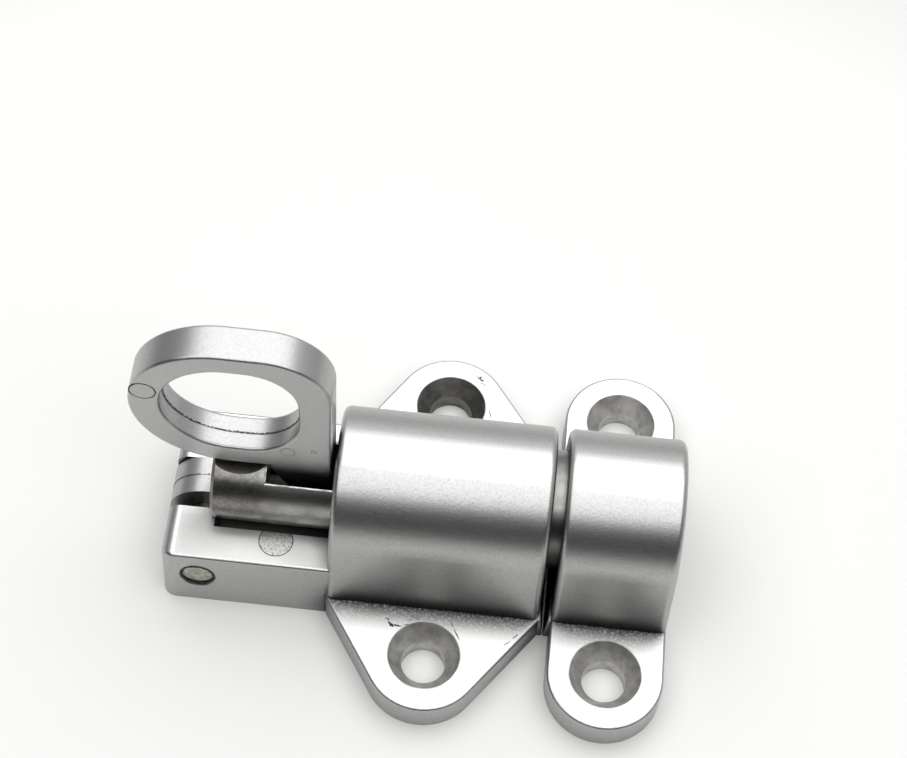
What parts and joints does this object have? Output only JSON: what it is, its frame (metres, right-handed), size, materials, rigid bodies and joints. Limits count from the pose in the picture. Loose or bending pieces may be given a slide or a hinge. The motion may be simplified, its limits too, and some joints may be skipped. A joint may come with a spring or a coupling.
{
  "type": "ring pull door bolt",
  "caption": "Spring-loaded door bolt drawn by a finger ring, with a barrel housing and a matching keeper, each held by countersunk screws.",
  "frame": {"origin": "on the mounting face, midway between the housing's two screw holes", "axes": "+X along the bolt toward the keeper, +Z away from the door face, Y across the bolt"},
  "size_m": [0.0687, 0.052, 0.0419],
  "materials": {
    "casting": "satin plated die casting",
    "turned_steel": "turned, darker than the castings",
    "spring_wire": "bare spring wire",
    "pin_steel": "bare steel"
  },
  "bodies": {
    "base": {"housing": "casting", "keeper": "casting", "hinge_pin": "pin_steel", "spring": "spring_wire"},
    "sliding_bolt": {"bolt": "turned_steel"},
    "ring_lever": {"pull_ring": "casting"}
  },
  "joints": [
    {"name": "ring_turn", "type": "hinge", "parent": "base", "child": "ring_lever", "pos_m": [-0.0297, 0.0008, 0.00545], "axis": [0, -1, 0], "range_deg": [0, 70], "stiffness_Nm_per_rad": 0.023, "springref_deg": -42.8},
    {"name": "bolt_slide", "type": "slide", "parent": "base", "child": "sliding_bolt", "axis": [-1, 0, 0], "range_m": [0, 0.0103], "deforming": ["spring"]}
  ],
  "couplings": [
    {"joint": "bolt_slide", "follows": "ring_turn", "m_per_rad": 0.00843}
  ]
}
